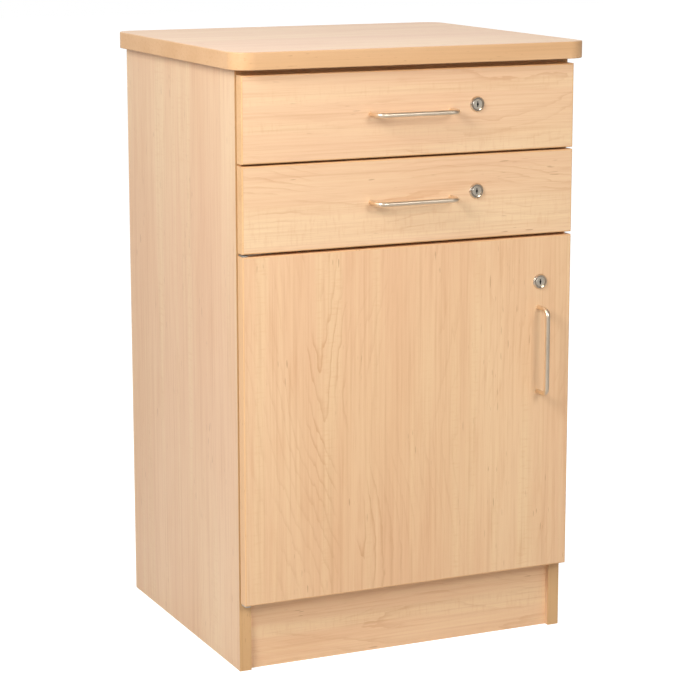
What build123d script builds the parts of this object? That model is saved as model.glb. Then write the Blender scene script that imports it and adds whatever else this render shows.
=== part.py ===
"""Bedside cabinet: two drawers over a hinged door, in laminated board.

Millimetres. +X is to the right as seen from the front, +Y to the back, +Z up.
The origin is on the floor, under the middle of the worktop.
"""
import os

from build123d import *

os.makedirs("parts", exist_ok=True)

# Carcass
CARCASS_W = 530.0
CARCASS_D = 450.0
CARCASS_H = 875.0
BOARD = 18.0
EDGING = 2.0
ARRIS = 1.5
BACK_T = 6.0
BACK_INSET = 24.0
TOP_T = 25.0
TOP_SIDE = 15.0
TOP_FRONT = 38.0
TOP_BACK = 12.0
TOP_CORNER_R = 30.0
BASE_Z = 106.0
DIVIDER_Z = 606.0
MID_RAIL_Z = 733.0
RAIL_D = 80.0
PLINTH_SETBACK = 8.0
SHELF_Z = 350.0
SHELF_SETBACK = 20.0
SHELF_PLAY = 1.0
SHELF_BACK_GAP = 6.0

# Fronts: gap behind them, and the height span of each
FRONT_GAP = 3.0
FRONT_INSET = 1.0
DOOR_SPAN = (104.0, 613.0)
DRAWER_SPANS = ((743.5, 867.0), (617.0, 740.5))

# Drawer boxes and their slides
SLIDE_T = 12.7
SLIDE_H = 45.0
SLIDE_LEN = 395.0
BOX_H = 85.0
BOX_RISE = 16.5
BOX_LEN = 400.0
BOX_WALL = 12.0
BOX_FLOOR_T = 5.0
BOX_FLOOR_UP = 10.0
BOX_FLOOR_PLAY = 0.3
BALL_R = 1.8

# Handles and locks
BAR_R = 3.5
HANDLE_CENTRES = 128.0
HANDLE_REACH = 32.0
HANDLE_BEND_R = 11.0
DOOR_HANDLE = (210.5, 441.8)
HEAD_R = 11.5
HEAD_T = 3.0
HEAD_BEVEL = (1.5, 2.4)
HEAD_RECESS_R = 8.7
HEAD_RECESS = 1.6
PLUG_SETBACK = 0.5
PLUG_BEVEL = 0.6
PLUG_DISH_R = 5.6
PLUG_DISH = 0.4
NUT_R = 13.5
NUT_T = 4.0
KEYWAY_D = 9.0
BARREL_R = 9.5
PLUG_R = 7.5
PLUG_CLEARANCE = 0.06
PLUG_KEYHOLE_R = 1.7
KEYWAY = (1.8, 8.0)
PLUG_END_R = 5.0
PLUG_END_T = 2.5
CAM_SQUARE = 6.0
CAM_GAP = 0.3
CAM_T = 2.0
CAM_W = 12.0
DRAWER_LOCK_X = 103.7
DRAWER_LOCK_RISE = 8.0
DRAWER_CAM_REACH = 51.0
DOOR_LOCK = (212.0, 544.8)
DOOR_CAM_REACH = 42.0

# Door pivots
PIVOT_IN = 7.0
PIVOT_AHEAD = 13.5
PIVOT_PIN_R = 2.5
PIVOT_CLEARANCE = 0.05
LEAF_T = 1.5

# Derived places
DEPTH = CARCASS_D + TOP_BACK + FRONT_GAP + BOARD + HANDLE_REACH
FRONT_Y = DEPTH / 2 - TOP_BACK - CARCASS_D
BACK_Y = FRONT_Y + CARCASS_D
INNER_X = CARCASS_W / 2 - BOARD
FACE_Y = FRONT_Y - FRONT_GAP - BOARD
INSIDE_Y = FRONT_Y - FRONT_GAP
PANEL_Y = BACK_Y - BACK_INSET
BAR_Y = FACE_Y - HANDLE_REACH + BAR_R
CAM_Y = FRONT_Y + 8.0
SLIDE_Y = FRONT_Y + 3.0
FRONT_X = CARCASS_W / 2 - FRONT_INSET

TURNS = {"X": (0, 90, 0), "Y": (-90, 0, 0), "Z": (0, 0, 0)}
FROM_END = (Align.CENTER, Align.CENTER, Align.MIN)


def block(x, y, z, mode=Mode.ADD):
    """Add a box between the low and high value of each axis."""
    middle = (sum(x) / 2, sum(y) / 2, sum(z) / 2)
    with Locations(middle):
        Box(x[1] - x[0], y[1] - y[0], z[1] - z[0], mode=mode)


def rod(start, axis, radius, length, mode=Mode.ADD):
    """Add a round bar that runs from start towards the named axis."""
    with Locations(start):
        Cylinder(radius, length, rotation=TURNS[axis], align=FROM_END, mode=mode)


def save(piece, label):
    """Name a finished piece and write it to its own file."""
    piece.part.label = label
    export_step(piece.part, f"parts/{label}.step")


# Worktop: a board with one continuous band around its edge
top_mid = Plane((0, (FRONT_Y - TOP_FRONT + BACK_Y + TOP_BACK) / 2, CARCASS_H))
top_w = CARCASS_W + 2 * TOP_SIDE
top_d = CARCASS_D + TOP_FRONT + TOP_BACK
SCREW_X = 150.0
SCREW_PLACES = [(x, y) for x in (-SCREW_X, SCREW_X) for y in (FRONT_Y + 55, PANEL_Y - 40)]
WORKTOP_SCREW = {"radius": 2.5, "bite": 16.0, "head_radius": 5.0, "head": 3.0}

with BuildPart() as worktop:
    with BuildSketch(top_mid):
        RectangleRounded(top_w - 2 * EDGING, top_d - 2 * EDGING, TOP_CORNER_R - EDGING)
    extrude(amount=TOP_T)
    for x, y in SCREW_PLACES:
        rod((x, y, CARCASS_H), "Z", WORKTOP_SCREW["radius"], WORKTOP_SCREW["bite"], Mode.SUBTRACT)
save(worktop, "worktop")

with BuildPart() as worktop_edging:
    with BuildSketch(top_mid):
        RectangleRounded(top_w, top_d, TOP_CORNER_R)
    extrude(amount=TOP_T)
    rims = worktop_edging.edges().group_by(Axis.Z)
    fillet(rims[0] + rims[-1], ARRIS)
    with BuildSketch(top_mid):
        RectangleRounded(top_w - 2 * EDGING, top_d - 2 * EDGING, TOP_CORNER_R - EDGING)
    extrude(amount=TOP_T, mode=Mode.SUBTRACT)
save(worktop_edging, "worktop_edging")

# Carcass boards that run between the side panels: height, front and back
SHELF_BOARDS = {
    "base_panel": (BASE_Z, FRONT_Y, PANEL_Y),
    "divider_panel": (DIVIDER_Z, FRONT_Y, PANEL_Y),
    "mid_rail": (MID_RAIL_Z, FRONT_Y, FRONT_Y + RAIL_D),
    "top_rail_front": (CARCASS_H - BOARD, FRONT_Y, FRONT_Y + RAIL_D),
    "top_rail_rear": (CARCASS_H - BOARD, PANEL_Y - RAIL_D - EDGING, PANEL_Y),
}
EDGED = ("base_panel", "divider_panel", "mid_rail", "top_rail_front")

# Cam fittings that hold those boards: a drum in the board, a bolt into the side
FITTING_INSETS = (40.0, 46.0)
DRUM = {"radius": 7.5, "depth": 12.5, "inset": 34.0}
BOLT = {"radius": 3.5, "bite_radius": 2.5, "bite": 11.0}


def fitting_rows(front, back):
    """Return the depths at which a board has its cam fittings."""
    if back - front > 2 * RAIL_D:
        return (front + FITTING_INSETS[0], back - FITTING_INSETS[1])
    return ((front + back) / 2,)


def fittings(mode):
    """Add or cut the drums and bolts of every board."""
    for floor, front, back in SHELF_BOARDS.values():
        for y in fitting_rows(front, back):
            for side in (-1, 1):
                drum_x = side * (INNER_X - DRUM["inset"])
                bolt_x = min(drum_x, side * INNER_X)
                bite_x = min(side * INNER_X, side * (INNER_X + BOLT["bite"]))
                rod((drum_x, y, floor), "Z", DRUM["radius"], DRUM["depth"], mode)
                rod((bolt_x, y, floor + BOARD / 2), "X", BOLT["radius"], DRUM["inset"], mode)
                rod((bite_x, y, floor + BOARD / 2), "X", BOLT["bite_radius"], BOLT["bite"], mode)


# Slots that take the turned lock cams
SLOT_PLAY = 0.4
SLOT_T = CAM_T + 2 * SLOT_PLAY
SLOT_DEPTH = 9.5
SLOT_REACH = (10.0, 32.0)
DRAWER_LOCK_Z = [sum(span) / 2 + DRAWER_LOCK_RISE for span in DRAWER_SPANS]
SLOT_Y = (CAM_Y - SLOT_PLAY, CAM_Y - SLOT_PLAY + SLOT_T)
drawer_slot_x = (DRAWER_LOCK_X - SLOT_REACH[1], DRAWER_LOCK_X + SLOT_REACH[0])

# Screws of the door's pivot brackets, in the front edges of two boards
FLANGE_X = (0.8 - INNER_X, 34 - INNER_X)
PIVOT_SCREWS_X = (FLANGE_X[0] + 8, FLANGE_X[1] - 8)
PIVOT_SCREWS_Z = {"base_panel": BASE_Z + 8.5, "divider_panel": DIVIDER_Z + 4.2}
PIVOT_SCREW = {"radius": 1.9, "bite": 16.0, "head_radius": 3.4, "head": 1.0}


def pivot_screw_holes(label, start, length):
    """Drill one board's holes for its pivot bracket."""
    for x in PIVOT_SCREWS_X:
        rod((x, start, PIVOT_SCREWS_Z[label]), "Y", PIVOT_SCREW["radius"], length, Mode.SUBTRACT)


for label, (floor, front, back) in SHELF_BOARDS.items():
    edge = EDGING if label in EDGED else 0.0
    with BuildPart() as board:
        block((-INNER_X, INNER_X), (front + edge, back), (floor, floor + BOARD))
        fittings(Mode.SUBTRACT)
        if label in ("top_rail_front", "mid_rail"):
            block(drawer_slot_x, SLOT_Y, (floor, floor + SLOT_DEPTH), Mode.SUBTRACT)
        if label in PIVOT_SCREWS_Z:
            pivot_screw_holes(label, front, PIVOT_SCREW["bite"])
        if label.startswith("top_rail"):
            for x, y in SCREW_PLACES:
                rod((x, y, floor), "Z", WORKTOP_SCREW["radius"], BOARD, Mode.SUBTRACT)
    save(board, label)

with BuildPart() as panel_fittings:
    fittings(Mode.ADD)
save(panel_fittings, "panel_fittings")

with BuildPart() as worktop_screws:
    for x, y in SCREW_PLACES:
        under = CARCASS_H - BOARD
        shank = BOARD + WORKTOP_SCREW["bite"]
        rod((x, y, under), "Z", WORKTOP_SCREW["radius"], shank)
        rod((x, y, under - WORKTOP_SCREW["head"]), "Z", WORKTOP_SCREW["head_radius"], WORKTOP_SCREW["head"])
save(worktop_screws, "worktop_screws")

shelf_front = FRONT_Y + SHELF_SETBACK
shelf_x = INNER_X - SHELF_PLAY
with BuildPart() as carcass_edging:
    for label in EDGED:
        floor = SHELF_BOARDS[label][0]
        block((-INNER_X, INNER_X), (FRONT_Y, FRONT_Y + EDGING), (floor, floor + BOARD))
    for label in PIVOT_SCREWS_Z:
        pivot_screw_holes(label, FRONT_Y, EDGING)
    block((-shelf_x, shelf_x), (shelf_front, shelf_front + EDGING), (SHELF_Z, SHELF_Z + BOARD))
save(carcass_edging, "carcass_edging")

# Side panels: floor to worktop, with shelf-pin rows and a groove for the back
PIN_PITCH = 32.0
PIN_R = 2.5
PIN_BITE = 12.0
PIN_REACH = 9.0
PIN_PLAY = 0.1
TONGUE_W = 7.0
TONGUE_T = 1.5
PIN_ROWS_Y = (FRONT_Y + 52, PANEL_Y - 52)
PIN_ROWS_Z = [SHELF_Z - PIN_R + PIN_PITCH * step for step in range(-3, 4)]
GROOVE_D = 6.0
GROOVE_PLAY = 0.5
BACK_FLOOR = 90.0
SLIDE_Z = [span[0] + BOX_RISE + BOX_H / 2 for span in DRAWER_SPANS]
SLIDE_SCREWS_Y = [SLIDE_Y + along for along in (35, 195, 355)]
SLIDE_SCREW = {"radius": 1.75, "head_radius": 3.2, "head": 1.6, "bite": 12.0, "box_bite": 8.0}

for side, label in ((-1, "side_panel_left"), (1, "side_panel_right")):
    inner = side * INNER_X
    outer = side * CARCASS_W / 2
    with BuildPart() as side_panel:
        block(sorted((inner, outer)), (FRONT_Y + EDGING, BACK_Y), (0, CARCASS_H))
        groove = sorted((inner, inner + side * GROOVE_D))
        block(groove, (PANEL_Y, PANEL_Y + BACK_T), (BACK_FLOOR, CARCASS_H), Mode.SUBTRACT)
        fittings(Mode.SUBTRACT)
        pin_x = min(inner, inner + side * PIN_BITE)
        for y in PIN_ROWS_Y:
            for z in PIN_ROWS_Z:
                rod((pin_x, y, z), "X", PIN_R, PIN_BITE, Mode.SUBTRACT)
        for y in SLIDE_SCREWS_Y:
            for z in SLIDE_Z:
                rod((pin_x, y, z), "X", SLIDE_SCREW["radius"], PIN_BITE, Mode.SUBTRACT)
        if side == 1:
            slot_x = (inner, inner + SLOT_DEPTH)
            slot_z = (DOOR_LOCK[1] - SLOT_REACH[0], DOOR_LOCK[1] + SLOT_REACH[1])
            block(slot_x, SLOT_Y, slot_z, Mode.SUBTRACT)
    save(side_panel, label)

with BuildPart() as side_edging:
    for side in (-1, 1):
        span = sorted((side * INNER_X, side * CARCASS_W / 2))
        block(span, (FRONT_Y, FRONT_Y + EDGING), (0, CARCASS_H))
save(side_edging, "side_edging")

for label, front in (("plinth_front", FRONT_Y + PLINTH_SETBACK), ("plinth_rear", PANEL_Y - 2 * BOARD)):
    with BuildPart() as plinth:
        block((-INNER_X, INNER_X), (front, front + BOARD), (0, BASE_Z))
    save(plinth, label)

with BuildPart() as back_panel:
    reach = INNER_X + GROOVE_D - GROOVE_PLAY
    block((-reach, reach), (PANEL_Y, PANEL_Y + BACK_T), (BACK_FLOOR, CARCASS_H))
save(back_panel, "back_panel")

with BuildPart() as shelf:
    block((-shelf_x, shelf_x), (shelf_front + EDGING, PANEL_Y - SHELF_BACK_GAP),
          (SHELF_Z, SHELF_Z + BOARD))
save(shelf, "shelf")

with BuildPart() as shelf_pins:
    for side in (-1, 1):
        pin_ends = sorted((side * (INNER_X + PIN_BITE), side * (INNER_X - PIN_REACH)))
        tongue = sorted((side * INNER_X, side * (INNER_X - PIN_REACH)))
        for y in PIN_ROWS_Y:
            rod((pin_ends[0], y, SHELF_Z - PIN_R), "X", PIN_R - PIN_PLAY, pin_ends[1] - pin_ends[0])
            block(tongue, (y - TONGUE_W / 2, y + TONGUE_W / 2), (SHELF_Z - TONGUE_T, SHELF_Z))
save(shelf_pins, "shelf_pins")

# Fronts
HALF_CENTRES = HANDLE_CENTRES / 2
HANDLE_SCREW = {"radius": 1.9, "bite": 10.0, "head_radius": 4.0, "head": 2.2,
                "drive_radius": 1.2, "drive": 1.0}
PIVOT_X = -CARCASS_W / 2 + PIVOT_IN
PIVOT_Y = FRONT_Y - PIVOT_AHEAD
PIN_LENGTH = 14.0
BUSH_R = 4.0
BUSH_FLANGE_R = 5.0
BUSH_FLANGE_T = 1.5
BUSH_LEN = 17.0
DOOR_TO_LEAF = 0.7


def front_board(span, lock, feet):
    """Fill a front inside its edging, with holes for the lock and handle screws."""
    block((EDGING - FRONT_X, FRONT_X - EDGING), (FACE_Y, INSIDE_Y), (span[0] + EDGING, span[1] - EDGING))
    rod((lock[0], FACE_Y, lock[1]), "Y", BARREL_R, BOARD, Mode.SUBTRACT)
    for x, z in feet:
        rod((x, FACE_Y, z), "Y", HANDLE_SCREW["radius"], BOARD, Mode.SUBTRACT)


def front_edging(span):
    """Make the band around a front, with rounded arrises on its face."""
    block((-FRONT_X, FRONT_X), (FACE_Y, INSIDE_Y), span)
    face = faces().sort_by(Axis.Y)[0]
    fillet(face.edges(), ARRIS)
    block((EDGING - FRONT_X, FRONT_X - EDGING), (FACE_Y, INSIDE_Y),
          (span[0] + EDGING, span[1] - EDGING), Mode.SUBTRACT)


def bar_handle(feet):
    """Bend a round bar into a D between two feet, tapped for its screws."""
    (x0, z0), (x1, z1) = feet
    with BuildPart() as handle:
        with BuildLine() as path:
            FilletPolyline((x0, FACE_Y, z0), (x0, BAR_Y, z0), (x1, BAR_Y, z1), (x1, FACE_Y, z1),
                           radius=HANDLE_BEND_R)
        with BuildSketch(Plane(origin=(x0, FACE_Y, z0), z_dir=(0, -1, 0))):
            Circle(BAR_R)
        sweep(path=path.line)
        for x, z in feet:
            start = FACE_Y - HANDLE_SCREW["bite"]
            rod((x, start, z), "Y", HANDLE_SCREW["radius"], HANDLE_SCREW["bite"], Mode.SUBTRACT)
    return handle


def handle_screws(feet):
    """Make the two screws that hold a handle from behind."""
    with BuildPart() as screws:
        for x, z in feet:
            start = FACE_Y - HANDLE_SCREW["bite"]
            rod((x, start, z), "Y", HANDLE_SCREW["radius"], INSIDE_Y - start)
            rod((x, INSIDE_Y, z), "Y", HANDLE_SCREW["head_radius"], HANDLE_SCREW["head"])
            drive_y = INSIDE_Y + HANDLE_SCREW["head"] - HANDLE_SCREW["drive"]
            rod((x, drive_y, z), "Y", HANDLE_SCREW["drive_radius"], HANDLE_SCREW["drive"], Mode.SUBTRACT)
    return screws


def lock_housing(x, z):
    """Turn a cam lock's bevelled head and barrel, and add the nut behind the front."""
    bore = PLUG_R + PLUG_CLEARANCE
    rear_y = CAM_Y - CAM_GAP
    with BuildPart() as housing:
        rod((x, FACE_Y - HEAD_T, z), "Y", HEAD_R, HEAD_T)
        front = housing.faces().sort_by(Axis.Y)[0]
        chamfer(front.edges(), *HEAD_BEVEL, reference=front)
        rod((x, FACE_Y - HEAD_T, z), "Y", HEAD_RECESS_R, HEAD_RECESS, Mode.SUBTRACT)
        rod((x, FACE_Y, z), "Y", BARREL_R, rear_y - FACE_Y)
        with BuildSketch(Plane((x, INSIDE_Y, z), x_dir=(1, 0, 0), z_dir=(0, 1, 0))):
            RegularPolygon(NUT_R, 6)
        extrude(amount=NUT_T)
        rod((x, FACE_Y - HEAD_T, z), "Y", bore, rear_y - FACE_Y + HEAD_T, Mode.SUBTRACT)
    return housing


def lock_plug(x, z):
    """Turn the plug that takes the key, with a square rear end for the cam."""
    face = FACE_Y - HEAD_T + PLUG_SETBACK
    with BuildPart() as plug:
        rod((x, face, z), "Y", PLUG_R, CAM_Y - face)
        chamfer(plug.edges().filter_by(GeomType.CIRCLE).sort_by(Axis.Y)[0], PLUG_BEVEL)
        rod((x, face, z), "Y", PLUG_DISH_R, PLUG_DISH, Mode.SUBTRACT)
        half = CAM_SQUARE / 2
        block((x - half, x + half), (CAM_Y, CAM_Y + CAM_T), (z - half, z + half))
        rod((x, CAM_Y + CAM_T, z), "Y", PLUG_END_R, PLUG_END_T)
        wide, tall = KEYWAY
        block((x - wide / 2, x + wide / 2), (face, face + KEYWAY_D), (z - tall / 2, z + tall / 2),
              Mode.SUBTRACT)
        rod((x, face, z), "Y", PLUG_KEYHOLE_R, KEYWAY_D, Mode.SUBTRACT)
    return plug


def lock_cam(x, z, reach, towards):
    """Stamp a cam arm with a square hole, pointing along the direction given."""
    plane = Plane((x, CAM_Y + CAM_T, z), x_dir=towards, z_dir=(0, -1, 0))
    with BuildPart() as cam:
        with BuildSketch(plane):
            with Locations((reach / 2, 0)):
                RectangleRounded(reach, CAM_W, 2)
            Circle(CAM_W / 2 + 2)
            Rectangle(CAM_SQUARE, CAM_SQUARE, mode=Mode.SUBTRACT)
        extrude(amount=CAM_T)
    return cam


def channel(along, offset, thickness, half, lip, z_mid):
    """Add a pair of C-section slide members, one on each side of the cabinet.

    offset is the web's distance from the side panel, half the section's half
    height, and lip the distance from the side panel at which its flanges end.
    """
    for side in (-1, 1):
        web = sorted((side * (INNER_X - offset), side * (INNER_X - offset - thickness)))
        flange = sorted((side * (INNER_X - offset), side * (INNER_X - lip)))
        block(web, along, (z_mid - half, z_mid + half))
        block(flange, along, (z_mid + half - SHEET, z_mid + half))
        block(flange, along, (z_mid - half, z_mid - half + SHEET))


def ball_cages(along, ball_z, z_mid, web_at, ball_at, reach):
    """Add a pair of sheet cages with a row of balls in each flange.

    web_at, ball_at and reach are distances from the side panel, and ball_z is
    the height of a row of balls over the middle of the slide.
    """
    for side in (-1, 1):
        web = sorted((side * (INNER_X - web_at), side * (INNER_X - web_at - CAGE_T)))
        block(web, along, (z_mid - ball_z - CAGE_T / 2, z_mid + ball_z + CAGE_T / 2))
        strip = sorted((side * (INNER_X - web_at), side * (INNER_X - reach)))
        for edge in (-ball_z, ball_z):
            middle = z_mid + edge
            block(strip, along, (middle - CAGE_T / 2, middle + CAGE_T / 2))
            for step in range(CAGE_BALLS):
                y = along[0] + CAGE_END + step * CAGE_PITCH
                with Locations((side * (INNER_X - ball_at), y, middle)):
                    Sphere(BALL_R)


# Ball-bearing slides: three nested channels, with balls between them
SHEET = 1.2
OUTER_HALF = SLIDE_H / 2
OUTER_LIP = 9.5
MIDDLE_AT = 3.0
MIDDLE_HALF = 17.5
MIDDLE_LIP = 10.6
INNER_HALF = 12.5
INNER_LIP = 5.5
CAGE_T = 0.6
CAGE_BALLS = 9
CAGE_PITCH = 21.0
CAGE_END = 11.0
CAGE_SPAN = (SLIDE_Y + 105, SLIDE_Y + 295)
OUTER_CAGE = {"web_at": 1.8, "ball_at": 6.0, "reach": 8.5}
INNER_CAGE = {"web_at": 4.8, "ball_at": 8.2, "reach": 10.4}
OUTER_BALL_Z = (OUTER_HALF + MIDDLE_HALF - SHEET) / 2
INNER_BALL_Z = (MIDDLE_HALF + INNER_HALF - SHEET) / 2
slide_span = (SLIDE_Y, SLIDE_Y + SLIDE_LEN)
box_x = INNER_X - SLIDE_T

HANDLE_X = -2.0
HANDLE_RISE = 0.8

for number, (span, lock_z, slide_z) in enumerate(zip(DRAWER_SPANS, DRAWER_LOCK_Z, SLIDE_Z), 1):
    name = f"drawer_{number}"
    lock = (DRAWER_LOCK_X, lock_z)
    handle_z = sum(span) / 2 + HANDLE_RISE
    feet = [(HANDLE_X - HALF_CENTRES, handle_z), (HANDLE_X + HALF_CENTRES, handle_z)]
    box_floor = span[0] + BOX_RISE
    box_z = (box_floor, box_floor + BOX_H)
    box_back = INSIDE_Y + BOX_LEN
    floor_z = (box_floor + BOX_FLOOR_UP, box_floor + BOX_FLOOR_UP + BOX_FLOOR_T)
    floor_x = box_x - BOX_WALL / 2

    with BuildPart() as drawer_front:
        front_board(span, lock, feet)
    save(drawer_front, f"{name}_front")

    with BuildPart() as drawer_edging:
        front_edging(span)
    save(drawer_edging, f"{name}_edging")

    with BuildPart() as drawer_sides:
        for side in (-1, 1):
            block(sorted((side * box_x, side * (box_x - BOX_WALL))), (INSIDE_Y, box_back), box_z)
            bite = SLIDE_SCREW["box_bite"]
            screw_x = min(side * box_x, side * (box_x - bite))
            for y in SLIDE_SCREWS_Y:
                rod((screw_x, y, slide_z), "X", SLIDE_SCREW["radius"], bite, Mode.SUBTRACT)
        block((-floor_x, floor_x), (INSIDE_Y, box_back), floor_z, Mode.SUBTRACT)
    save(drawer_sides, f"{name}_sides")

    with BuildPart() as drawer_back:
        block((BOX_WALL - box_x, box_x - BOX_WALL), (box_back - BOX_WALL, box_back), (floor_z[1], box_z[1]))
    save(drawer_back, f"{name}_back")

    with BuildPart() as drawer_floor:
        half = floor_x - BOX_FLOOR_PLAY
        block((-half, half), (INSIDE_Y, box_back), floor_z)
    save(drawer_floor, f"{name}_floor")

    save(bar_handle(feet), f"{name}_handle")
    save(handle_screws(feet), f"{name}_handle_screws")
    save(lock_housing(*lock), f"{name}_lock_housing")
    save(lock_plug(*lock), f"{name}_lock_plug")
    save(lock_cam(*lock, DRAWER_CAM_REACH, towards=(-1, 0, 0)), f"{name}_lock_cam")

    with BuildPart() as slide_outer:
        channel(slide_span, 0, SHEET, OUTER_HALF, OUTER_LIP, slide_z)
        for y in SLIDE_SCREWS_Y:
            for side in (-1, 1):
                screw_x = min(side * INNER_X, side * (INNER_X + SLIDE_SCREW["bite"]))
                rod((screw_x, y, slide_z), "X", SLIDE_SCREW["radius"], SLIDE_SCREW["bite"])
    save(slide_outer, f"slide_outer_{number}")

    with BuildPart() as slide_middle:
        channel(slide_span, MIDDLE_AT, SHEET, MIDDLE_HALF, MIDDLE_LIP, slide_z)
    save(slide_middle, f"slide_middle_{number}")

    with BuildPart() as slide_inner:
        channel(slide_span, SLIDE_T - SHEET, SHEET, INNER_HALF, INNER_LIP, slide_z)
        for y in SLIDE_SCREWS_Y:
            for side in (-1, 1):
                web_x = side * (box_x + SHEET)
                head_x = min(web_x, web_x + side * SLIDE_SCREW["head"])
                screw_x = min(web_x, side * (box_x - SLIDE_SCREW["box_bite"]))
                shank = SHEET + SLIDE_SCREW["box_bite"]
                rod((head_x, y, slide_z), "X", SLIDE_SCREW["head_radius"], SLIDE_SCREW["head"])
                rod((screw_x, y, slide_z), "X", SLIDE_SCREW["radius"], shank)
    save(slide_inner, f"slide_inner_{number}")

    with BuildPart() as cage_outer:
        ball_cages(CAGE_SPAN, OUTER_BALL_Z, slide_z, **OUTER_CAGE)
    save(cage_outer, f"ball_cage_outer_{number}")

    with BuildPart() as cage_inner:
        ball_cages(CAGE_SPAN, INNER_BALL_Z, slide_z, **INNER_CAGE)
    save(cage_inner, f"ball_cage_inner_{number}")

# Door
door_feet = [(DOOR_HANDLE[0], DOOR_HANDLE[1] + HALF_CENTRES), (DOOR_HANDLE[0], DOOR_HANDLE[1] - HALF_CENTRES)]
BUSH_SEATS = ((DOOR_SPAN[0], 1), (DOOR_SPAN[1], -1))


def pivot_bush(mode, bore=0.0):
    """Add or cut the flanged bushes in the door's lower and upper ends."""
    for end, way in BUSH_SEATS:
        length = min(end, end + way * BUSH_LEN)
        flange = min(end, end + way * BUSH_FLANGE_T)
        rod((PIVOT_X, PIVOT_Y, length), "Z", BUSH_R, BUSH_LEN, mode)
        rod((PIVOT_X, PIVOT_Y, flange), "Z", BUSH_FLANGE_R, BUSH_FLANGE_T, mode)
        if bore:
            rod((PIVOT_X, PIVOT_Y, length), "Z", bore, BUSH_LEN, Mode.SUBTRACT)


with BuildPart() as door_panel:
    front_board(DOOR_SPAN, DOOR_LOCK, door_feet)
    pivot_bush(Mode.SUBTRACT)
save(door_panel, "door_panel")

with BuildPart() as door_edging:
    front_edging(DOOR_SPAN)
    pivot_bush(Mode.SUBTRACT)
save(door_edging, "door_edging")

with BuildPart() as door_pivot_bushes:
    pivot_bush(Mode.ADD, bore=PIVOT_PIN_R + PIVOT_CLEARANCE)
save(door_pivot_bushes, "door_pivot_bushes")

save(bar_handle(door_feet), "door_handle")
save(handle_screws(door_feet), "door_handle_screws")
save(lock_housing(*DOOR_LOCK), "door_lock_housing")
save(lock_plug(*DOOR_LOCK), "door_lock_plug")
save(lock_cam(*DOOR_LOCK, DOOR_CAM_REACH, towards=(0, 0, 1)), "door_lock_cam")

# Pivot brackets: a flange on a board's front edge, a leaf past the door's end, a pin
BRACKETS = (
    ("lower_pivot_bracket", "base_panel", DOOR_SPAN[0] - DOOR_TO_LEAF - LEAF_T, False),
    ("upper_pivot_bracket", "divider_panel", DOOR_SPAN[1] + DOOR_TO_LEAF, True),
)
LEAF_SHOULDER = 4.0

for label, board, leaf_z, pin_down in BRACKETS:
    floor = SHELF_BOARDS[board][0]
    flange_z = (min(floor + 1, leaf_z), floor + BOARD - 1)
    pin_z = leaf_z + LEAF_T - PIN_LENGTH if pin_down else leaf_z
    with BuildPart() as bracket:
        block(FLANGE_X, (FRONT_Y - LEAF_T, FRONT_Y), flange_z)
        with BuildSketch(Plane.XY.offset(leaf_z)):
            with BuildLine():
                Polyline((FLANGE_X[1], FRONT_Y), (FLANGE_X[0], FRONT_Y),
                         (PIVOT_X - BUSH_FLANGE_R, FRONT_Y - LEAF_SHOULDER),
                         (PIVOT_X - BUSH_FLANGE_R, PIVOT_Y), (PIVOT_X + BUSH_FLANGE_R, PIVOT_Y),
                         (FLANGE_X[1], FRONT_Y - LEAF_SHOULDER), close=True)
            make_face()
            with Locations((PIVOT_X, PIVOT_Y)):
                Circle(BUSH_FLANGE_R)
        extrude(amount=LEAF_T)
        rod((PIVOT_X, PIVOT_Y, pin_z), "Z", PIVOT_PIN_R, PIN_LENGTH)
        pivot_screw_holes(board, FRONT_Y - LEAF_T, LEAF_T)
    save(bracket, label)

with BuildPart() as pivot_screws:
    for x in PIVOT_SCREWS_X:
        for z in PIVOT_SCREWS_Z.values():
            head_y = FRONT_Y - LEAF_T - PIVOT_SCREW["head"]
            rod((x, head_y, z), "Y", PIVOT_SCREW["head_radius"], PIVOT_SCREW["head"])
            rod((x, FRONT_Y - LEAF_T, z), "Y", PIVOT_SCREW["radius"], LEAF_T + PIVOT_SCREW["bite"])
save(pivot_screws, "pivot_screws")
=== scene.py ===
"""Looks of the bedside cabinet: maple laminate boards, steel fittings and a pale studio.

Everything is in metres in the CAD frame: the origin is in the middle of the footprint,
+Z is up and the front faces -Y.
"""
import math

import bpy
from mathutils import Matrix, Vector


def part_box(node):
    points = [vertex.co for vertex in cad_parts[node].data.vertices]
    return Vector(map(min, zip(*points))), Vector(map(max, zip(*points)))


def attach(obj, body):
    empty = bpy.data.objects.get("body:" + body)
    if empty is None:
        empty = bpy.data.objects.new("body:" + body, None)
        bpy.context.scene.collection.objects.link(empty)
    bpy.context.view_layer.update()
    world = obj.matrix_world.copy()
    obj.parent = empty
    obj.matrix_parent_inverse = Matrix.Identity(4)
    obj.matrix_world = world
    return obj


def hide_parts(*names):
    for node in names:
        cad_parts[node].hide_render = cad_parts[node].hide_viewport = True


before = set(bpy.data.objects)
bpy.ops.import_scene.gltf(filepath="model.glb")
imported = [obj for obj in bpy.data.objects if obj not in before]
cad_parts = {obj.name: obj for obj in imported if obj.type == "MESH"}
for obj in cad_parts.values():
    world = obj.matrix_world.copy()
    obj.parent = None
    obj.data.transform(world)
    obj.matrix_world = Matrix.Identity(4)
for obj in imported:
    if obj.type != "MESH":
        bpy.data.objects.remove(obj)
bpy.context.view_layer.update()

MM = 0.001
AXES = "XYZ"
WHITE = (1, 1, 1, 1)
DRAWERS = (1, 2)
OWNERS = ("drawer_1", "drawer_2", "door")


# ---- Node graphs -------------------------------------------------------------------------

def linear(red, green, blue):
    """Turn 0-255 display values into a scene colour."""
    def channel(value):
        value /= 255
        return value / 12.92 if value <= 0.04045 else ((value + 0.055) / 1.055) ** 2.4
    return (channel(red), channel(green), channel(blue), 1.0)


def dimmed(colour, share):
    """Return a scene colour with its brightness cut to a share."""
    return tuple(value * share for value in colour[:3]) + (1.0,)


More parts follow.
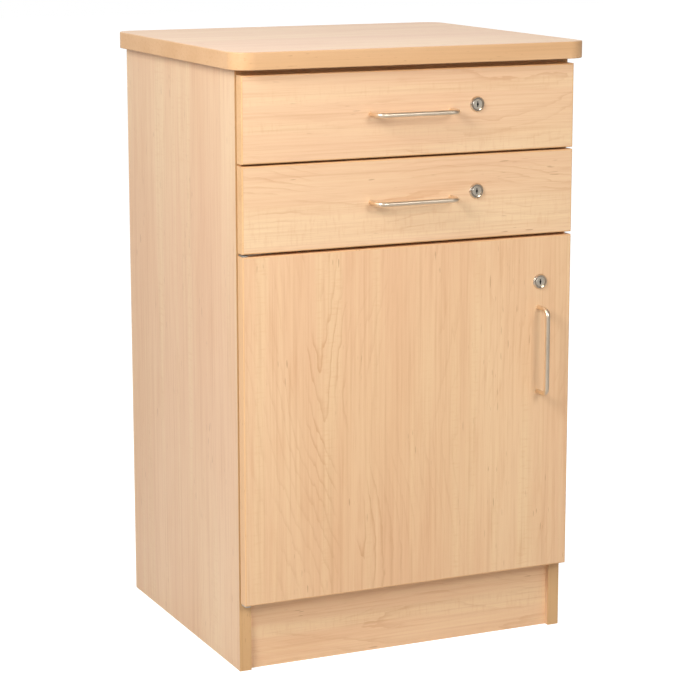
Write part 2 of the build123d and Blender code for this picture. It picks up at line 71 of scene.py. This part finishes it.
class Graph:
    """The node tree of a material or world, with short ways to add the few kinds used."""

    def __init__(self, owner):
        owner.use_nodes = True
        self.tree = owner.node_tree
        self.tree.nodes.clear()

    def add(self, kind, **settings):
        """Add a node and set its own properties."""
        node = self.tree.nodes.new(kind)
        for key, value in settings.items():
            setattr(node, key, value)
        return node

    def put(self, socket, value):
        """Link an output to a socket, or set the socket to a constant."""
        if isinstance(value, bpy.types.NodeSocket):
            self.tree.links.new(value, socket)
        else:
            socket.default_value = value

    def fill(self, node, *values):
        """Put values into a node's first inputs, and return its first output."""
        for socket, value in zip(node.inputs, values):
            self.put(socket, value)
        return node.outputs[0]

    def math(self, operation, *values):
        return self.fill(self.add("ShaderNodeMath", operation=operation), *values)

    def vector(self, operation, *values):
        return self.fill(self.add("ShaderNodeVectorMath", operation=operation), *values)

    def remap(self, value, low, high, to_low=0.0, to_high=1.0):
        """Ease a value from one range to another, held at the ends."""
        node = self.add("ShaderNodeMapRange", interpolation_type="SMOOTHSTEP")
        return self.fill(node, value, low, high, to_low, to_high)

    def mix(self, factor, first, second):
        node = self.add("ShaderNodeMix", data_type="RGBA")
        for socket, value in (("Factor", factor), ("A", first), ("B", second)):
            self.put(node.inputs[socket], value)
        return node.outputs["Result"]

    def noise(self, place, scale, detail=2.0, roughness=0.5, distortion=0.0):
        """Sample smooth noise, with a scale for each axis of place."""
        node = self.add("ShaderNodeTexNoise")
        self.put(node.inputs["Vector"], self.vector("MULTIPLY", place, scale))
        self.put(node.inputs["Scale"], 1.0)
        self.put(node.inputs["Detail"], detail)
        self.put(node.inputs["Roughness"], roughness)
        self.put(node.inputs["Distortion"], distortion)
        return node.outputs["Fac"]

    def split(self, place):
        """Return the three coordinates of a place."""
        parts = self.add("ShaderNodeSeparateXYZ")
        self.put(parts.inputs[0], place)
        return parts.outputs

    def object_place(self):
        return self.add("ShaderNodeTexCoord").outputs["Object"]

    def board_place(self, grain, across, seed):
        """Return (across, along, depth) in metres, shifted so that no two boards match."""
        parts = self.split(self.object_place())
        depth = next(axis for axis in AXES if axis not in (grain, across))
        turned = [parts[AXES.index(axis)] for axis in (across, grain, depth)]
        place = self.fill(self.add("ShaderNodeCombineXYZ"), *turned)
        return self.vector("ADD", place, [seed * step for step in SEED_STEP])


class Surface(Graph):
    """A material with one Principled shader."""

    def __init__(self, name):
        self.material = bpy.data.materials.new(name)
        super().__init__(self.material)
        self.shader = self.add("ShaderNodeBsdfPrincipled")
        output = self.add("ShaderNodeOutputMaterial")
        self.put(output.inputs["Surface"], self.shader.outputs[0])

    def set(self, **values):
        """Set or link the shader's own sockets, by name with _ for a space."""
        for key, value in values.items():
            self.put(self.shader.inputs[key.replace("_", " ")], value)

    def bump(self, height, strength, distance):
        node = self.add("ShaderNodeBump")
        self.put(node.inputs["Strength"], strength)
        self.put(node.inputs["Distance"], distance)
        self.put(node.inputs["Height"], height)
        self.put(self.shader.inputs["Normal"], node.outputs[0])


# ---- Maple laminate ----------------------------------------------------------------------

PALE = (243, 205, 161)
MID = (235, 191, 147)
PINK = (237, 189, 150)
CREAM = (246, 214, 168)
SMUDGE = (222, 168, 122)
LATEWOOD = (202, 142, 94)
FLECK = (160, 100, 60)
SEED_STEP = (3.17, 5.93, 2.41)

# Noise layers: scale across the grain, along it and in depth, then detail, roughness
# and distortion
LAYERS = {
    "broad": ((9.0, 0.8, 5.0), 2.0),
    "blush": ((3.4, 1.5, 3.0), 1.0),
    "cream": ((26.0, 0.9, 9.0), 2.0),
    "smudge": ((48.0, 5.6, 20.0), 3.0, 0.55, 0.4),
    "streak": ((210.0, 3.2, 60.0), 3.0, 0.65),
    "fibre": ((900.0, 16.0, 400.0), 3.0, 0.65),
    "ripple": ((46.0, 240.0, 30.0), 2.0),
    "dash": ((420.0, 42.0, 260.0), 0.0),
    "spread": ((17.0, 8.0, 11.0), 1.0),
}

# Washes of colour in the order they go on: layer, where it starts, where it is full,
# strength and colour
WASHES = (
    ("blush", 0.42, 0.68, 0.45, PINK),
    ("cream", 0.5, 0.66, 0.4, CREAM),
    ("smudge", 0.5, 0.74, 0.26, SMUDGE),
    ("streak", 0.46, 0.76, 0.27, LATEWOOD),
    ("streak", 0.5, 0.3, 0.22, CREAM),
)

DRIFT = 0.26             # how far the figure's middle wanders across the board, in metres
TIP_ROUNDING = 0.00015   # rounds the tips of the cathedral figure, in square metres
RING_WANDER = 2.2        # rings by which slow waves shift a line
RING_JAG = 0.8           # rings by which fine waves shift a line
LINE_START = 0.45        # where in a ring its line starts to darken
LINE_PEAK = 0.95         # where in a ring its line is darkest
LINE_SHARPNESS = 3.0


def tinted(colour, tint):
    """Multiply a display colour by a tint and make it a scene colour."""
    return linear(*(min(255, value * factor) for value, factor in zip(colour, tint)))


def growth_rings(g, place, centre, rings, climb):
    """Return thin latewood lines: the rings of a trunk, cut at a slant and unevenly grown."""
    side, along, _ = g.split(place)
    drift = g.math("SUBTRACT", g.noise(place, (3.0, 1.9, 2.0), detail=1.0), 0.5)
    middle = g.math("MULTIPLY_ADD", drift, DRIFT, g.math("SUBTRACT", side, centre))
    radius = g.math("SQRT", g.math("MULTIPLY_ADD", middle, middle, TIP_ROUNDING))
    phase = g.math("MULTIPLY_ADD", radius, rings, g.math("MULTIPLY", along, climb))
    phase = g.math("MULTIPLY_ADD", g.noise(place, (16.0, 4.0, 6.0)), RING_WANDER, phase)
    phase = g.math("MULTIPLY_ADD", g.noise(place, (130.0, 26.0, 30.0)), RING_JAG, phase)
    turn = g.math("FRACT", phase)
    rise = g.math("POWER", g.remap(turn, LINE_START, LINE_PEAK), LINE_SHARPNESS)
    line = g.math("MULTIPLY", rise, g.remap(turn, LINE_PEAK, 1.0, 1.0, 0.0))
    patch = g.remap(g.noise(place, (24.0, 5.0, 6.0)), 0.42, 0.66, 0.04, 1.0)
    core = g.remap(radius, 0.015, 0.1, 1.0, 0.34)
    return g.math("MULTIPLY", g.math("MULTIPLY", line, patch), core)


def maple(name, grain, across, seed, centre=0.0, figure=0.3, rings=95.0, climb=-4.0,
          tint=(1, 1, 1)):
    """Printed maple: broad tone, smudges, streaks, ripple, growth rings and small flecks.

    centre is where the cathedral figure's middle lies across the board, figure its
    strength, rings how many growth rings a metre holds, and climb how many of them
    the cut crosses in a metre along the grain.
    """
    g = Surface(name)
    place = g.board_place(grain, across, seed)
    layer = {key: g.noise(place, *figures) for key, figures in LAYERS.items()}
    ring = growth_rings(g, place, centre + seed * SEED_STEP[0], rings, climb)
    dash = g.math("MULTIPLY", g.remap(layer["dash"], 0.74, 0.82),
                  g.remap(layer["spread"], 0.54, 0.62))
    ripple = g.math("MULTIPLY", g.remap(layer["ripple"], 0.5, 0.72, 0.0, 0.22),
                    g.remap(layer["cream"], 0.5, 0.66))

    colour = g.mix(g.remap(layer["broad"], 0.3, 0.7), tinted(PALE, tint), tinted(MID, tint))
    for key, start, full, strength, wash in WASHES:
        colour = g.mix(g.remap(layer[key], start, full, 0.0, strength), colour,
                       tinted(wash, tint))
    colour = g.mix(ripple, colour, tinted(SMUDGE, tint))
    colour = g.mix(g.math("MULTIPLY", ring, figure), colour, tinted(LATEWOOD, tint))
    colour = g.mix(g.remap(layer["fibre"], 0.5, 0.8, 0.0, 0.24), colour,
                   tinted(LATEWOOD, tint))
    colour = g.mix(g.math("MULTIPLY", dash, 0.42), colour, tinted(FLECK, tint))

    g.set(Base_Color=colour, Roughness=g.remap(layer["fibre"], 0.2, 0.8, 0.32, 0.42),
          IOR=1.46, Coat_Weight=0.12, Coat_Roughness=0.3)
    g.bump(g.math("ADD", layer["fibre"], g.math("MULTIPLY", ring, 0.5)), 0.08, 0.2 * MM)
    return g.material


BAND_PALE = (236, 190, 139)
BAND_MID = (229, 181, 128)
BAND_STREAK = (206, 156, 104)


def edging(name, grain, across, seed, tint=(1, 1, 1)):
    """Matching plastic edge band: a little yellower, with a faint printed grain."""
    g = Surface(name)
    place = g.board_place(grain, across, seed)
    streak = g.noise(place, (260.0, 3.0, 200.0), detail=3.0, roughness=0.6)
    broad = g.noise(place, (20.0, 2.0, 14.0), detail=1.0)
    dash = g.noise(place, (700.0, 80.0, 500.0), detail=0.0)
    colour = g.mix(g.remap(broad, 0.3, 0.7), tinted(BAND_PALE, tint), tinted(BAND_MID, tint))
    colour = g.mix(g.remap(streak, 0.45, 0.8, 0.0, 0.35), colour, tinted(BAND_STREAK, tint))
    colour = g.mix(g.remap(dash, 0.76, 0.84, 0.0, 0.3), colour, tinted(FLECK, tint))
    g.set(Base_Color=colour, Roughness=g.remap(streak, 0.2, 0.8, 0.3, 0.38))
    g.bump(streak, 0.06, 0.2 * MM)
    return g.material


# ---- Metal, fibreboard and nylon ---------------------------------------------------------

ZINC = linear(212, 211, 207)
NICKEL = linear(228, 214, 196)
WORN_NICKEL = linear(238, 228, 212)
SATIN_STEEL = linear(240, 222, 198)
# Near-black painted shade for the recess of a keyway
KEYWAY_PAINTED_SHADE = (0.02, 0.018, 0.015, 1)
KEYWAY_DEPTH = 0.5 * MM   # just deeper than the dish in a plug's face
KEYWAY_FADE = 0.4 * MM


def metal(name, colour, roughness, brushed, axis="X", painted_shade_behind=None):
    """Plated or brushed steel with fine lines along one axis and faint cloudiness.

    The last argument is a depth along Y past which the metal is painted near-black: painted
    shade in a keyway.
    """
    g = Surface(name)
    across = "Z" if axis != "Z" else "X"
    place = g.board_place(axis, across, 0.0)
    lines = g.noise(place, (5200.0, 60.0, 5200.0), detail=2.0, roughness=0.6)
    cloud = g.noise(place, (40.0, 30.0, 40.0), detail=2.0)
    shade = g.mix(g.remap(cloud, 0.35, 0.7, 0.0, 0.6), colour, dimmed(colour, 0.86))
    if painted_shade_behind is not None:
        # Painted shade: past the given depth the keyway is painted near-black, where shade
        # falls in the recess.
        depth = g.split(g.object_place())["Y"]
        painted_shade_mask = g.remap(depth, painted_shade_behind, painted_shade_behind + KEYWAY_FADE)
        shade = g.mix(painted_shade_mask, shade, KEYWAY_PAINTED_SHADE)
    gloss = g.remap(lines, 0.25, 0.75, roughness - 0.05, roughness + 0.08)
    g.set(Base_Color=shade, Roughness=gloss, Metallic=1.0)
    g.bump(lines, brushed, 0.05 * MM)
    return g.material


def fibreboard(name, colour, speck):
    """A plain laminated sheet with a fine speckle."""
    g = Surface(name)
    place = g.board_place("Z", "X", 1.3)
    grit = g.noise(place, (900.0, 900.0, 900.0), detail=2.0)
    cloud = g.noise(place, (6.0, 3.0, 6.0), detail=2.0)
    shade = g.mix(g.remap(cloud, 0.35, 0.7), colour, dimmed(colour, 0.94))
    shade = g.mix(g.remap(grit, 0.58, 0.75, 0.0, 0.5), shade, speck)
    g.set(Base_Color=shade, Roughness=g.remap(grit, 0.3, 0.7, 0.42, 0.52))
    g.bump(grit, 0.05, 0.1 * MM)
    return g.material


def moulded(name, colour, roughness):
    """Moulded nylon with a faint matt texture."""
    g = Surface(name)
    place = g.board_place("Z", "X", 0.7)
    grit = g.noise(place, (2500.0, 2500.0, 2500.0), detail=1.0)
    shade = g.mix(g.remap(grit, 0.4, 0.7, 0.0, 0.2), colour, dimmed(colour, 0.8))
    gloss = g.remap(grit, 0.3, 0.7, roughness - 0.04, roughness + 0.05)
    g.set(Base_Color=shade, Roughness=gloss)
    g.bump(grit, 0.08, 0.1 * MM)
    return g.material


# ---- Finishes of the CAD nodes -----------------------------------------------------------

SIDE_TINT = (0.985, 1.0, 1.04)
FRONT_TINT = (1.0, 1.01, 1.03)
UPRIGHT = dict(grain="Z", across="Y")
LEVEL = dict(grain="X", across="Y")
FRONT = dict(grain="X", across="Z")

# What maple() is given for each board
BOARDS = {
    "worktop": dict(LEVEL, seed=1, centre=0.05, figure=0.18, tint=(1.0, 1.0, 1.02)),
    "side_panel_left": dict(UPRIGHT, seed=2, centre=0.3, figure=0.28, tint=SIDE_TINT),
    "side_panel_right": dict(UPRIGHT, seed=3, centre=-0.3, figure=0.28, tint=SIDE_TINT),
    "drawer_1_front": dict(FRONT, seed=4, centre=0.83, figure=0.34, climb=2.6,
                           tint=FRONT_TINT),
    "drawer_2_front": dict(FRONT, seed=5, centre=0.66, figure=0.34, climb=2.6,
                           tint=FRONT_TINT),
    "door_panel": dict(grain="Z", across="X", seed=6, centre=-0.11, figure=0.46, rings=62.0,
                       climb=-10.0),
    "plinth_front": dict(FRONT, seed=7, centre=0.05, figure=0.3, tint=(1.03, 1.04, 1.05)),
    "plinth_rear": dict(FRONT, seed=8, centre=0.03, figure=0.2),
    "base_panel": dict(LEVEL, seed=9),
    "divider_panel": dict(LEVEL, seed=10, centre=0.1),
    "mid_rail": dict(LEVEL, seed=11),
    "top_rail_front": dict(LEVEL, seed=12),
    "top_rail_rear": dict(LEVEL, seed=13),
    "shelf": dict(LEVEL, seed=14, centre=-0.05),
}
BOX_FIGURE = 0.15
BOX_SIDE_SEED = 20
BOX_BACK_SEED = 24

# Pieces in plain zinc plate; * stands for a drawer's number
ZINC_PIECES = (
    "panel_fittings", "worktop_screws", "pivot_screws", "shelf_pins", "lower_pivot_bracket",
    "upper_pivot_bracket", "door_handle_screws", "door_lock_cam", "slide_outer_*",
    "slide_middle_*", "slide_inner_*", "ball_cage_outer_*", "ball_cage_inner_*",
    "drawer_*_handle_screws", "drawer_*_lock_cam",
)


def dress(node, material):
    """Give a CAD node one material."""
    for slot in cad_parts[node].material_slots:
        slot.material = material


def dress_boards():
    for node, look in BOARDS.items():
        dress(node, maple(f"maple_{node}", **look))
    for number in DRAWERS:
        sides = maple(f"maple_box_sides_{number}", "Y", "Z", BOX_SIDE_SEED + number,
                      figure=BOX_FIGURE)
        back = maple(f"maple_box_back_{number}", "X", "Z", BOX_BACK_SEED + number,
                     figure=BOX_FIGURE)
        floor = fibreboard(f"drawer_floor_{number}", linear(226, 212, 190),
                           linear(205, 190, 166))
        dress(f"drawer_{number}_sides", sides)
        dress(f"drawer_{number}_back", back)
        dress(f"drawer_{number}_floor", floor)
    dress("back_panel", fibreboard("back_board", linear(228, 198, 160), linear(204, 170, 130)))


def dress_edging():
    level = edging("edging_level", "X", "Z", 31)
    dress("carcass_edging", level)
    for number in DRAWERS:
        dress(f"drawer_{number}_edging", level)
    # Painted shade: the upright edging is tinted 6% darker, for front edges that stand in less
    # light low down.
    dress("side_edging", edging("edging_upright", "Z", "X", 32, tint=(0.94, 0.94, 0.92)))
    # Painted shade: the worktop edging is tinted about 4% darker, for the band's left side
    # that gets less light.
    dress("worktop_edging", edging("edging_worktop", "X", "Z", 33, tint=(0.96, 0.955, 0.97)))
    dress("door_edging", edging("edging_door", "Z", "X", 34, tint=(1.01, 1.01, 1.03)))


def dress_fittings():
    zinc = metal("zinc_plate", ZINC, 0.36, 0.1, axis="Y")
    for piece in ZINC_PIECES:
        for node in sorted({piece.replace("*", str(number)) for number in DRAWERS}):
            dress(node, zinc)
    housing = metal("bright_nickel", NICKEL, 0.16, 0.03, axis="Z")
    # The plug's keyway gets painted shade past KEYWAY_DEPTH.
    plug_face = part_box("door_lock_plug")[0].y
    plug = metal("worn_nickel", WORN_NICKEL, 0.34, 0.05, axis="Z",
                 painted_shade_behind=plug_face + KEYWAY_DEPTH)
    for owner in OWNERS:
        dress(f"{owner}_lock_housing", housing)
        dress(f"{owner}_lock_plug", plug)
    dress("door_pivot_bushes", moulded("nylon", linear(226, 224, 216), 0.45))


# ---- Handles -----------------------------------------------------------------------------

BAR_SIDES = 32
BEND_STEPS = 14
BEND_R = 11 * MM
STRAIGHT_FOOT = 0.25   # share of each leg before the extra point that keeps it straight
SMOOTH_BELOW = math.radians(35)


def bend_path(start, out, end, radius):
    """Return points from start, out by a vector, across, and back to end, with round bends."""
    corners = (start + out, end + out)
    ways = (out.normalized(), (end - start).normalized(), -out.normalized())
    points = [start, start + out * STRAIGHT_FOOT]
    for corner, before, after in zip(corners, ways, ways[1:]):
        hub = corner - before * radius + after * radius
        for step in range(BEND_STEPS + 1):
            angle = math.pi / 2 * step / BEND_STEPS
            spoke = before * math.sin(angle) - after * math.cos(angle)
            points.append(hub + spoke * radius)
    points += [end + out * STRAIGHT_FOOT, end]
    return points


def tube(name, points, radius, side):
    """Make a closed round bar along points that lie in the plane normal to side."""
    verts, faces = [], []
    for index, point in enumerate(points):
        before = points[max(index - 1, 0)]
        after = points[min(index + 1, len(points) - 1)]
        normal = (after - before).normalized().cross(side)
        for turn in range(BAR_SIDES):
            angle = math.tau * turn / BAR_SIDES
            spoke = normal * math.cos(angle) + side * math.sin(angle)
            verts.append(point + spoke * radius)
    for index in range(len(points) - 1):
        row = index * BAR_SIDES
        above = row + BAR_SIDES
        for turn in range(BAR_SIDES):
            ahead = (turn + 1) % BAR_SIDES
            faces.append((row + turn, row + ahead, above + ahead, above + turn))
    last = (len(points) - 1) * BAR_SIDES
    faces.append(tuple(reversed(range(BAR_SIDES))))
    faces.append(tuple(range(last, last + BAR_SIDES)))
    mesh = bpy.data.meshes.new(name)
    mesh.from_pydata(verts, [], faces)
    mesh.validate()
    piece = bpy.data.objects.new(name, mesh)
    bpy.context.scene.collection.objects.link(piece)
    smooth(piece)
    return piece


def smooth(piece):
    """Shade a piece smoothly, keeping its sharper edges."""
    bpy.context.view_layer.objects.active = piece
    bpy.ops.object.select_all(action="DESELECT")
    piece.select_set(True)
    bpy.ops.object.shade_auto_smooth(angle=SMOOTH_BELOW)
    for modifier in list(piece.modifiers):
        bpy.ops.object.modifier_apply(modifier=modifier.name)


def add_handle(owner, steel):
    """Replace a handle with a smoothly bent bar in the same place."""
    node = f"{owner}_handle"
    low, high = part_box(node)
    size = high - low
    radius = min(size) / 2
    along = Vector((1, 0, 0)) if size.x > size.z else Vector((0, 0, 1))
    middle = (low + high) / 2
    half = max(size.x, size.z) / 2 - radius
    foot = Vector((middle.x, high.y, middle.z))
    out = Vector((0, -(size.y - radius), 0))
    points = bend_path(foot - along * half, out, foot + along * half, BEND_R)
    side = along.cross(Vector((0, 1, 0))).normalized()
    bar = tube(f"{owner}_bar_handle", points, radius, side)
    bar.data.materials.append(steel)
    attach(bar, owner)
    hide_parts(node)


def add_handles():
    level = metal("satin_steel_level", SATIN_STEEL, 0.33, 0.12, axis="X")
    upright = metal("satin_steel_upright", SATIN_STEEL, 0.33, 0.12, axis="Z")
    for number in DRAWERS:
        add_handle(f"drawer_{number}", level)
    add_handle("door", upright)


# ---- Studio ------------------------------------------------------------------------------

FLOOR_SIZE = 30.0
FLOOR_GLOW = 0.8

# Softboxes: place, aim, width and height in metres, and power in watts
SOFTBOXES = {
    "key": ((-1.5, -1.0, 1.6), (-0.1, -0.2, 0.6), (0.8, 0.8), 28),
    "front": ((0.45, -2.6, 1.75), (0, -0.2, 0.6), (0.9, 0.9), 27),
    "back": ((0.5, 1.7, 2.2), (0, 0, 0.9), (2.0, 1.0), 13),
}

# The room's own light: grey in front, white towards BRIGHT_SIDE
AMBIENT = 0.66
FRONT_GREY = (0.34, 0.31, 0.28, 1)
BRIGHT_SIDE = (-0.8, 0.6, 0.0)
GREY_UP_TO = 0.2
WHITE_FROM = 0.62

CAMERA_AIM = Vector((0.0, -0.011, 0.463))
CAMERA_AZIMUTH = math.radians(-24.72)
CAMERA_HEIGHT = math.radians(10.92)
CAMERA_DISTANCE = 3.573
CAMERA_LENS = 119.4
CAMERA_SENSOR = 36
CAMERA_SHIFT_Y = -0.04
CAMERA_REACH = 60


def add_floor():
    """A matt floor that looks plain white to the camera."""
    bpy.ops.mesh.primitive_plane_add(size=FLOOR_SIZE)
    floor = bpy.context.object
    floor.name = "studio_floor"
    g = Surface("floor_white")
    speck = g.noise(g.board_place("Z", "X", 0.0), (14.0, 14.0, 14.0), detail=3.0)
    seen = g.add("ShaderNodeLightPath").outputs["Is Camera Ray"]
    g.set(Base_Color=g.mix(speck, linear(198, 198, 198), linear(192, 192, 192)),
          Roughness=0.9, Specular_IOR_Level=0.1, Emission_Color=WHITE,
          Emission_Strength=g.math("MULTIPLY", seen, FLOOR_GLOW))
    floor.data.materials.append(g.material)


def add_softbox(name, place, aim, size, power):
    data = bpy.data.lights.new(name, "AREA")
    data.shape = "RECTANGLE"
    data.size, data.size_y = size
    data.energy = power
    light = bpy.data.objects.new(name, data)
    light.location = place
    light.rotation_euler = (Vector(aim) - Vector(place)).to_track_quat("-Z", "Y").to_euler()
    bpy.context.scene.collection.objects.link(light)


def add_world():
    """A white cyclorama: the camera sees plain white, and the room is dimmer in front."""
    world = bpy.data.worlds.new("studio")
    bpy.context.scene.world = world
    g = Graph(world)
    place = g.add("ShaderNodeTexCoord").outputs["Generated"]
    lean = g.add("ShaderNodeVectorMath", operation="DOT_PRODUCT")
    g.fill(lean, place, BRIGHT_SIDE)
    depth = g.fill(g.add("ShaderNodeMapRange"), lean.outputs["Value"], -1)
    ramp = g.add("ShaderNodeValToRGB")
    grey, white = ramp.color_ramp.elements
    grey.position, grey.color = GREY_UP_TO, FRONT_GREY
    white.position, white.color = WHITE_FROM, WHITE
    ambient = g.add("ShaderNodeBackground")
    g.fill(ambient, g.fill(ramp, depth), AMBIENT)
    plain = g.add("ShaderNodeBackground")
    g.fill(plain, WHITE)
    seen = g.add("ShaderNodeLightPath").outputs["Is Camera Ray"]
    sky = g.fill(g.add("ShaderNodeMixShader"), seen, ambient.outputs[0], plain.outputs[0])
    g.put(g.add("ShaderNodeOutputWorld").inputs["Surface"], sky)


def add_lights():
    add_world()
    for name, figures in SOFTBOXES.items():
        add_softbox(name, *figures)


def add_camera():
    data = bpy.data.cameras.new("camera")
    data.lens = CAMERA_LENS
    data.sensor_width = CAMERA_SENSOR
    data.shift_y = CAMERA_SHIFT_Y
    data.clip_end = CAMERA_REACH
    camera = bpy.data.objects.new("camera", data)
    back = Vector((math.sin(CAMERA_AZIMUTH) * math.cos(CAMERA_HEIGHT),
                   -math.cos(CAMERA_AZIMUTH) * math.cos(CAMERA_HEIGHT),
                   math.sin(CAMERA_HEIGHT)))
    camera.location = CAMERA_AIM + back * CAMERA_DISTANCE
    camera.rotation_euler = (-back).to_track_quat("-Z", "Y").to_euler()
    bpy.context.scene.collection.objects.link(camera)
    bpy.context.scene.camera = camera
    bpy.context.scene.view_settings.view_transform = "Standard"


dress_boards()
dress_edging()
dress_fittings()
add_handles()
add_floor()
add_lights()
add_camera()
